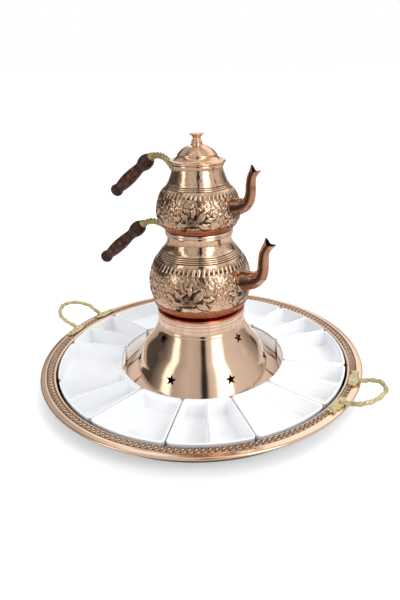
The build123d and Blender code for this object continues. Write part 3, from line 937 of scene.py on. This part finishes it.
def build_neck_band():
    low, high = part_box("stand_neck_band")
    wall = outer_wall("stand_neck_band", low.z + 0.2 * MM, high.z - 0.6 * MM, 0.4 * MM)
    lathe("neck_band_ribbed", shell_outline(wall, SHEET), 256, SPUN_COPPER, "stand_neck_band")


# Pots

POT_COLUMNS = 640
# Parts of a chased spray: x and y in units of its size, and for leaves also scale and tilt.
SPRAY_LEAVES = ((1.15, 0.75, 0.95, 48), (1.55, -0.55, 0.85, -28), (-1.0, 0.75, 0.75, 128),
                (0.25, 1.35, 0.6, 82), (2.3, 0.35, 0.6, 15), (-2.1, 0.45, 0.6, 155))
SPRAY_BERRIES = ((-0.55, 0.1), (-0.15, 0.32), (0.3, 0.12), (-0.32, -0.28), (0.1, -0.2),
                 (0.5, -0.25), (-0.75, -0.3))
SPRAY_SHADOWS = ((1.0, 0.15), (-0.9, 0.25), (0.6, 0.75), (-1.2, -0.9))
# Sizes of each pot in mm: heights of the body's edges and chased bands, then x and z along the
# middle lines of the arm, grip and spout.
POTS = {
    "lower": {
        "seed": 21, "base": 139, "round_top": 168, "round_by": 7, "band": (144, 162),
        "grooves": (243.5, 246.5, 249.5, 252.5), "scrolls": (184, 199, 214),
        "tongues": 232, "tongue_length": 14, "tongue_count": 60,
        "spray": 182, "spray_size": 16, "first_spray": -72, "pad": 268,
        "arm": ((-60, 266), (-68, 278), (-80, 284.5), (-95, 287.5), (-110, 286), (-126, 278)),
        "grip_end": (-229, 192),
        "spout": ((82, 203), (106, 207), (121, 216), (126, 229), (127, 245), (129, 262),
                  (138.5, 279.5)),
        "spout_radii": (19, 14.5, 11.5, 10.2, 9.6, 8.8, 8),
    },
    "upper": {
        "seed": 22, "base": 287, "round_top": 288, "round_by": 0, "band": (292, 303),
        "grooves": (365, 367.6, 370.2), "scrolls": (321, 333, 345),
        "tongues": 357.5, "tongue_length": 11, "tongue_count": 52,
        "spray": 317, "spray_size": 13.5, "first_spray": -67, "pad": 387,
        "arm": ((-47, 386), (-55, 397), (-64, 406), (-75, 411), (-86, 411.5), (-99, 406.5)),
        "grip_end": (-189, 333),
        "spout": ((62, 333), (83, 337), (97, 345), (102, 360), (102.5, 377), (104.2, 389),
                  (110.5, 401.5)),
        "spout_radii": (16, 12.5, 10, 9, 8.5, 7.8, 7),
    },
}
LEVEL = Vector((0, 1, 0))


def on_side(point):
    """3-D point in metres from x and z in mm on the plane of the spouts and grips."""
    return Vector((point[0] * MM, 0, point[1] * MM))


def chase_spray(canvas, azimuth, z, size, rng):
    """Berry cluster with big leaves and a flower round a place, on a dark ground, with painted
    shade between them.
    """
    place = canvas.at(z)
    radius = canvas.radius_near(place)

    def spot(x, y):
        return azimuth + x * size / radius, place + y * size

    for x, y, scale, tilt in SPRAY_LEAVES:
        at = spot(x + rng.uniform(-0.08, 0.08), y)
        canvas.stamp(*at, scale * size, tilt + rng.uniform(-8, 8), leaf_shape, 1.5 * MM)
    canvas.stamp(*spot(-1.5, -0.55), 0.62 * size, rng.uniform(0, 60), flower_shape, 1.5 * MM)
    for x, y in SPRAY_BERRIES:
        canvas.stamp(*spot(x, y), 0.27 * size, 0, berry_shape, 1.7 * MM)
    canvas.darken(*spot(-0.05, 0.0), 1.05 * size, 1.0)
    # Painted shade: dark patches between the leaves and berries.
    for x, y in SPRAY_SHADOWS:
        canvas.darken(*spot(x, y), 0.5 * size, 0.8)


def chase_scrolls(canvas, heights, rng, count=15):
    """Engraved acanthus curls with small leaves that fill a zone of the wall."""
    turn = np.linspace(0, 2.6 * pi, 40)
    reach = np.interp(turn, [0, turn[-1]], [8.0, 1.2]) * MM
    for row, z in enumerate(heights):
        place = canvas.at(z)
        radius = canvas.radius_near(place)
        for k in range(count):
            middle = 2 * pi * (k + 0.5 * row) / count + rng.uniform(-0.04, 0.04)
            hand = 1 if (k + row) % 2 else -1
            across = hand * reach * np.cos(turn) / radius
            canvas.groove(middle + across, place + 0.85 * reach * np.sin(turn), 1.2 * MM, 0.55 * MM)
            for bend in range(5):
                a = bend * 1.25
                at = middle + hand * 9.5 * MM * cos(a) / radius
                tilt = degrees(a) * hand + 70
                canvas.stamp(at, place + 8.0 * MM * sin(a), 4.6 * MM, tilt, leaf_shape, 0.7 * MM)


def chase_tongues(canvas, z, length, count):
    """Row of upright tongues, with a dark patch between each two, a little below their middles."""
    place = canvas.at(z)
    for azimuth in full_turn(count):
        canvas.stamp(azimuth, place, length / 2, 82, tongue_shape, 0.65 * MM)
        canvas.darken(azimuth + pi / count, place - 0.1 * length, 0.22 * length, 0.35)


def punch_band(canvas, low, high, rng, step=2.3 * MM):
    """Close, round, random studs under a scalloped edge; returns where the band blushes red."""
    start, stop = canvas.at(low), canvas.at(high)
    wave = stop + 2.2 * MM * np.abs(np.sin(14 * canvas.turn)) - 1.2 * MM
    along = canvas.along[:, None]
    blush = ((along > start) & (along < wave[None, :])).astype(float)
    for place in np.arange(start, stop, 0.8 * step):
        count = int(2 * pi * canvas.radius_near(place) / step)
        for azimuth in 2 * pi * (np.arange(count) + rng.uniform(-0.35, 0.35, count)) / count:
            at = place + rng.uniform(-0.5, 0.5) * MM
            canvas.stamp(azimuth, at, rng.uniform(0.9, 1.5) * MM, 0, berry_shape, 0.75 * MM)
    canvas.groove(canvas.turn[::2], wave[::2], 1.3 * MM, 0.7 * MM)
    return canvas.blurred(blush, 2)


def chase_pot(canvas, pot):
    """Works a pot's wall: hammer marks, grooves, tongues, scrolls, a punched band and flowers."""
    rng = np.random.default_rng(pot["seed"])
    tongues = pot["tongues"] * MM
    grooves = [canvas.at(z * MM) for z in pot["grooves"]]
    edge = canvas.at(tongues)
    canvas.hammer(edge + 8 * MM, canvas.along[-1] - 3 * MM, 5.5 * MM, 0.05 * MM, pot["seed"])
    canvas.hammer(0, edge, 4.2 * MM, 0.10 * MM, pot["seed"] + 1)
    canvas.rings(grooves, 0.9 * MM, -0.8 * MM)
    canvas.rings([place + 1.9 * MM for place in grooves], 1.0 * MM, 0.3 * MM)
    chase_tongues(canvas, tongues, pot["tongue_length"] * MM, pot["tongue_count"])
    chase_scrolls(canvas, [z * MM for z in pot["scrolls"]], rng)
    blush = punch_band(canvas, *[z * MM for z in pot["band"]], rng)
    for turn in full_turn(5):
        chase_spray(canvas, radians(pot["first_spray"]) + turn, pot["spray"] * MM,
                    pot["spray_size"] * MM, rng)
    # Darker in hollows and in the dark patches laid on, some of them painted shade.
    patina_and_shade = np.clip(1.1 * canvas.hollow_darkening(3, 0.42 * MM) + canvas.ground, 0, 1)
    patina_and_shade *= 1 - 0.25 * (canvas.height > 0.9 * MM)
    worked = np.clip((edge - canvas.along) / (6 * MM) + 1, 0, 1)[:, None] + 0 * patina_and_shade
    return {"patina_and_shade": patina_and_shade, "blush": blush, "worked": worked}


def build_pot_body(level, pot):
    """Copper pot: its chased wall, a plain inside and a flat bottom."""
    node = f"{level}_pot_body"
    low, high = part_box(node)
    base, round_top = pot["base"] * MM, pot["round_top"] * MM
    wall = outer_wall(node, base, high.z - 0.2 * MM, 0.9 * MM)
    short = np.clip((round_top - wall[:, 1]) / (round_top - base), 0, 1) ** 2
    wall[:, 0] -= pot["round_by"] * MM * short
    wall, along = resample(wall, 0.9 * MM)
    canvas = Canvas(wall, along, POT_COLUMNS)
    shades = chase_pot(canvas, pot)
    bottom_r = wall[0, 0]
    under = [(share * bottom_r, low.z) for share in (0.03, 0.4, 0.8)] + [(bottom_r - 1 * MM, low.z)]
    floor = [(share * (bottom_r - 3 * MM), low.z + SHEET) for share in (1, 0.8, 0.4, 0.03)]
    inner = (wall - normals_of(wall) * SHEET)[::-3]
    outline = np.concatenate([under, wall, inner, floor])

    def over_wall(values):
        full = np.zeros((len(outline), POT_COLUMNS))
        full[len(under):len(under) + len(wall)] = values
        return full

    piece = lathe(f"{level}_pot_chased", outline, POT_COLUMNS, CHASED_COPPER, node,
                  over_wall(canvas.height), closed=False)
    for key, values in shades.items():
        set_attribute(piece, key, over_wall(values))


# Grips and arms

def carve_flower(canvas, carved, azimuth, place):
    """Sinks the ground round a flower and marks where it is carved."""
    def petals(x, y):
        return flower_shape(x / (5.4 * MM), y / (5.4 * MM))

    def sunk(values, x, y):
        shape = petals(x, y)
        return values - 0.75 * MM * np.clip(1.1 - shape, 0, 1) * (shape > 0)

    def marked(values, x, y):
        shape = petals(x, y)
        return np.maximum(values, np.clip(shape * 1.2, 0, 1) * (shape > 0.2))

    canvas.paint(canvas.height, azimuth, place, 7.5 * MM, sunk)
    canvas.paint(carved, azimuth, place, 7.5 * MM, marked)


def build_grip(level, pot):
    """Turned grip: smooth bulb, a thin ring groove and a barrel carved with rosettes."""
    node = f"{level}_pot_grip"
    start = on_side(pot["arm"][-1])
    line = on_side(pot["grip_end"]) - start
    length = line.length
    axis = line.normalized()
    across = axis.cross(LEVEL)
    along = np.linspace(0.4 * MM, length - 0.1 * MM, 170)
    spokes = [cos(a) * LEVEL + sin(a) * across for a in full_turn(8)]
    wall = smooth_line([(reach_of(node, start + float(d) * axis, spokes, 40 * MM), d)
                        for d in along], 2)
    columns = 128
    canvas = Canvas(wall, along, columns)
    canvas.rings([share * length for share in (0.225, 0.262, 0.815, 0.865)], 0.7 * MM, -0.7 * MM)
    canvas.rings([0.243 * length], 0.8 * MM, 0.5 * MM)
    carved = np.zeros_like(canvas.height)
    for row, share in enumerate((0.36, 0.49, 0.62, 0.74)):
        for k in range(5):
            carve_flower(canvas, carved, 2 * pi * (k + 0.5 * (row % 2)) / 5, share * length)
    head = [(2.6 * MM, 0.4 * MM), (wall[0, 0] * 0.7, 0.4 * MM)]
    tail = [(wall[-1, 0] * 0.6, length), (1 * MM, length)]
    ends = ((len(head), len(tail)), (0, 0))
    grip = lathe(f"{level}_grip_turned", np.concatenate([head, wall, tail]), columns, WOOD, node,
                 np.pad(canvas.height, ends), closed=False)
    set_attribute(grip, "carved", np.pad(carved, ends))
    grip.data.transform(matrix_of(LEVEL, across, axis, start))


def build_arm(level, pot):
    """Cast arm: rope-twisted neck, a veined pad on the pot and a beaded ferrule."""
    path = curve_points([on_side(p) for p in pot["arm"]], 70)
    solid = Solid()
    share = np.linspace(0, 1, len(path))
    solid.add_tube(path, (4.4 + 0.25 * np.cos(2 * pi * share * 9)) * MM)
    axes = [(LEVEL, ahead.cross(LEVEL)) for ahead in directions(path)]
    solid.add_strands(path, axes, 4, 2.4, 3.9 * MM, 2.2 * MM, 12)
    tip = Vector(path[-1])
    axis = (on_side(pot["grip_end"]) - tip).normalized()
    for back, r in ((8.2, 5.6), (5.6, 6.9), (3.0, 7.9), (1.2, 8.0)):
        ring = tip - axis * back * MM
        solid.add_tube([ring - axis * 1.3 * MM, ring, ring + axis * 1.2 * MM],
                       [0.9 * r * MM, r * MM, 0.94 * r * MM], 28)
    pad_z = pot["pad"] * MM
    wall_r = radius_at(f"{level}_pot_body", pad_z)
    above = radius_at(f"{level}_pot_body", pad_z + 3 * MM)
    normal = Vector((-3 * MM, 0, wall_r - above)).normalized()
    up = LEVEL.cross(normal)
    up = up if up.z > 0 else -up
    middle = Vector((-wall_r, 0, pad_z)) + normal * 0.3 * MM
    solid.add_leaf(turned_to(middle, up, normal), 18.5 * MM, 15.5 * MM, 2.7 * MM, 4)
    solid.fuse(f"{level}_arm_cast", ARM_BRASS, f"{level}_pot_arm")


# Spouts, lid and knob

def build_spout(level, pot):
    """Swan-necked spout with a leafy root and a mouth that rises to a point front and back."""
    rows, sides = 110, 64
    inner_rows = 33  # how far down the mouth the inside is modelled
    path = curve_points([on_side(p) for p in pot["spout"]], rows)
    radii = pot["spout_radii"]
    radius = np.interp(np.linspace(0, 1, rows), np.linspace(0, 1, len(radii)), radii) * MM
    outer, inner, depth = [], [], []
    for i, ahead in enumerate(directions(path)):
        share = i / (rows - 1)
        up = ahead.cross(LEVEL)
        flare = max(0, (share - 0.86) / 0.14) ** 2
        for a in full_turn(sides):
            in_plane, aside = cos(a), sin(a)
            leaf = 0.5 + 0.5 * cos(8 * a)
            root = max(0, min(1, (0.30 - 0.12 * leaf - share) / 0.02))
            vein = 0.5 + 0.5 * cos(24 * a + 60 * share)
            r = radius[i] * (1 + 0.42 * flare * abs(in_plane) ** 1.5 - 0.08 * flare * abs(aside))
            r = float(r + root * (0.9 + 0.5 * vein) * MM)
            ring = Vector(path[i]) + 3.4 * MM * flare * cos(2 * a) * ahead
            spoke = in_plane * up + aside * LEVEL
            outer.append(ring + r * spoke)
            inner.append(ring + (r - SHEET) * spoke)
            # Painted reflection: a dark streak down the side of the spout towards the camera and
            # the side away from it.
            streak = 0.92 * float(np.exp(-((1 - abs(aside)) / 0.08) ** 2))
            depth.append(max(root * (1 - vein) * 0.9, streak))
    back = [inner[i * sides + k] for i in range(rows - 1, rows - 1 - inner_rows, -1)
            for k in range(sides)]
    name = f"{level}_spout_formed"
    mesh = mesh_from(name, outer + back, capped_faces(rows + inner_rows, sides))
    piece = add_piece(name, mesh, SPOUT_COPPER, f"{level}_pot_spout")
    # The inside down the mouth is set dark throughout.
    set_attribute(piece, "patina_and_shade", depth + [0.8] * len(back))


def build_lid():
    """Lid: low dome, a bead round its foot and a hollow flare out to a rolled brim."""
    over = [(7, 434.6), (10, 434.3), (18, 432.2), (25, 428.2), (29.6, 423.6), (31.4, 421.2),
            (32.6, 420.8), (33.6, 420), (33.7, 418.8), (33.4, 417.8), (34.8, 415.2), (38, 412.2),
            (42.5, 410), (46.6, 409.1), (48.1, 408.5), (48.3, 407.4), (47.6, 406.5)]
    wall = smooth_line(resample(np.array(over) * MM, 0.5 * MM)[0], 2)
    lathe("lid_spun", shell_outline(wall, 1 * MM), 256, POLISHED, "lid")


def build_knob():
    """Turned knob: a waisted stem with a bead under a dished cap."""
    outline = [(0.1, 433.6), (10.4, 433.6), (10.8, 434.8), (10.2, 436.2), (9.4, 437.4),
               (9.2, 440.6), (9.6, 441.6), (9.0, 442.6), (7.2, 443.8), (6.8, 446), (7.4, 448),
               (8.8, 450), (10.6, 451.8), (12.0, 453.4), (12.2, 454.3), (11.6, 455), (10.2, 455.2),
               (6.5, 454.9), (0.1, 454.8)]
    line, _ = resample(np.array(outline) * MM, 0.35 * MM)
    lathe("knob_turned", smooth_line(line, 3), 96, POLISHED, "lid_knob", closed=False)


# Stage

CAMERA_PLACE = (0.502, -0.804, 0.569)
CAMERA_TURN = radians(119.8)
CAMERA_PITCH = radians(-18.67)
CAMERA_ROLL = radians(-0.87)
ROOM_SHADE = 0.74  # brightness for matt surfaces; the three below are what metal mirrors
CEILING_SHADE = 0.70
BACKDROP_SHADE = 1.15
LEFT_SHADE = 0.50
# What polished metal mirrors: bearing in degrees from the camera's side, and brightness.
MIRRORED_ROOM = (
    (-180, 1.05), (-171, 1.00), (-163, 0.10), (-96, 0.07), (-84, 0.20), (-74, 0.36), (-68, 1.7),
    (-59, 1.7), (-53, 0.42), (-30, 0.60), (-6, 0.50), (-2, 0.02), (6, 0.02), (10, 0.60),
    (22, 0.85), (27, 2.6), (46, 2.6), (52, 0.75), (98, 0.62), (112, 0.40), (126, 0.26),
    (134, 0.03), (147, 0.45), (157, 0.05), (166, 0.85), (180, 1.05),
)


def softbox(name, bearing, distance, height, size, power):
    """Soft light that metal doesn't mirror, at a bearing in degrees from the camera's side."""
    turn = FRONT + radians(bearing)
    place = Vector((distance * cos(turn), distance * sin(turn), height))
    back = (place - Vector((0, 0, 0.15))).normalized()
    across = Vector((0, 0, 1)).cross(back).normalized()
    light = bpy.data.lights.new(name, "AREA")
    light.shape = "RECTANGLE"
    light.size, light.size_y = size
    light.energy = power
    lamp = link_object(name, light)
    lamp.matrix_world = matrix_of(across, back.cross(across), back, place)
    lamp.visible_camera = False
    lamp.visible_glossy = False


def build_world():
    """White room for the camera, soft light for matt surfaces, upright panels for the metal."""
    world = bpy.data.worlds.new("studio")
    bpy.context.scene.world = world
    world.use_nodes = True
    m = Nodes(world.node_tree)
    way = m.add("ShaderNodeTexCoord").outputs["Generated"]
    x, y, z = m.add("ShaderNodeSeparateXYZ", Vector=way).outputs
    c, s = cos(FRONT), sin(FRONT)
    ahead = m.maths("ADD", m.maths("MULTIPLY", x, c), m.maths("MULTIPLY", y, s))
    across = m.maths("SUBTRACT", m.maths("MULTIPLY", y, c), m.maths("MULTIPLY", x, s))
    bearing = m.maths("ADD", m.maths("DIVIDE", m.maths("ARCTAN2", across, ahead), 2 * pi), 0.5)
    room = m.ramp(bearing, [(turn / 360 + 0.5, (shade, 0.965 * shade, 0.92 * shade))
                            for turn, shade in MIRRORED_ROOM])

    def rising(source, sign, low, high):
        """0 to 1 as a value, or its negative, goes from low to high."""
        return m.scale(m.maths("MULTIPLY", source, sign), 0.0, 1.0, low, high)

    behind = rising(ahead, -1.0, 0.0, 0.35)
    upward = m.maths("MULTIPLY", rising(z, 1.0, 0.34, 0.46), rising(z, -1.0, -0.90, -0.78))
    left = rising(across, -1.0, 0.14, 0.28)
    backdrop = m.mix(left, (BACKDROP_SHADE,) * 3, (LEFT_SHADE,) * 3)
    lit = m.mix(m.maths("MULTIPLY", behind, upward), room, backdrop)
    ceiling = (CEILING_SHADE, 0.98 * CEILING_SHADE, 0.95 * CEILING_SHADE)
    mirrored = m.mix(m.maths("MULTIPLY", rising(z, 1.0, 0.80, 0.92), 0.75), lit, ceiling)
    rays = m.add("ShaderNodeLightPath").outputs
    seen = m.mix(rays["Is Glossy Ray"], (ROOM_SHADE,) * 3, mirrored)
    shown = m.mix(rays["Is Camera Ray"], seen, (1.0, 1.0, 1.0))
    m.plug(shown, m.tree.nodes["Background"].inputs["Color"])


def build_floor():
    """Pale floor, a little darker where metal mirrors it."""
    m = Surface("pale_floor")
    mirrored = m.add("ShaderNodeLightPath").outputs["Is Glossy Ray"]
    m.set(Base_Color=m.mix(mirrored, (0.92, 0.92, 0.925), (0.54, 0.51, 0.48)), Roughness=0.95,
          Emission_Color=(1, 1, 1), Emission_Strength=m.scale(mirrored, 0.36, 0.0))
    corners = [(-60, -60, 0), (60, -60, 0), (60, 60, 0), (-60, 60, 0)]
    mesh = mesh_from("floor", corners, [(0, 1, 2, 3)])
    mesh.materials.append(m.material)
    link_object("floor", mesh)


def build_camera():
    c, s = cos(CAMERA_PITCH), sin(CAMERA_PITCH)
    forward = Vector((c * cos(CAMERA_TURN), c * sin(CAMERA_TURN), s))
    right = forward.cross(Vector((0, 0, 1))).normalized()
    up = right.cross(forward)
    c, s = cos(CAMERA_ROLL), sin(CAMERA_ROLL)
    lens = bpy.data.cameras.new("camera")
    lens.lens = 33.19
    lens.sensor_width = 36
    lens.sensor_fit = "AUTO"
    lens.shift_x = -0.0327
    lens.shift_y = -0.0865
    camera = link_object("camera", lens)
    camera.matrix_world = matrix_of(right * c + up * s, up * c - right * s, -forward, CAMERA_PLACE)
    bpy.context.scene.camera = camera
    bpy.context.scene.view_settings.view_transform = "Standard"
    bpy.context.scene.cycles.caustics_reflective = False


dress_cad_nodes()
build_tray_pan()
build_tray_handle("tray_handle_right", 1)
build_tray_handle("tray_handle_left", -1)
for dish_index in range(12):
    build_dish(dish_index)
build_stand_cone()
build_neck_band()
for pot_level, pot_sizes in POTS.items():
    for build in (build_pot_body, build_grip, build_arm, build_spout):
        build(pot_level, pot_sizes)
build_lid()
build_knob()
build_floor()
softbox("key", 40, 1.9, 1.2, (0.7, 1.2), 16)
softbox("side", 110, 1.5, 1.0, (0.9, 1.2), 8)
softbox("fill", -60, 1.9, 1.0, (0.8, 1.2), 7)
softbox("top", 150, 0.5, 1.9, (1.2, 1.0), 10)
build_world()
build_camera()
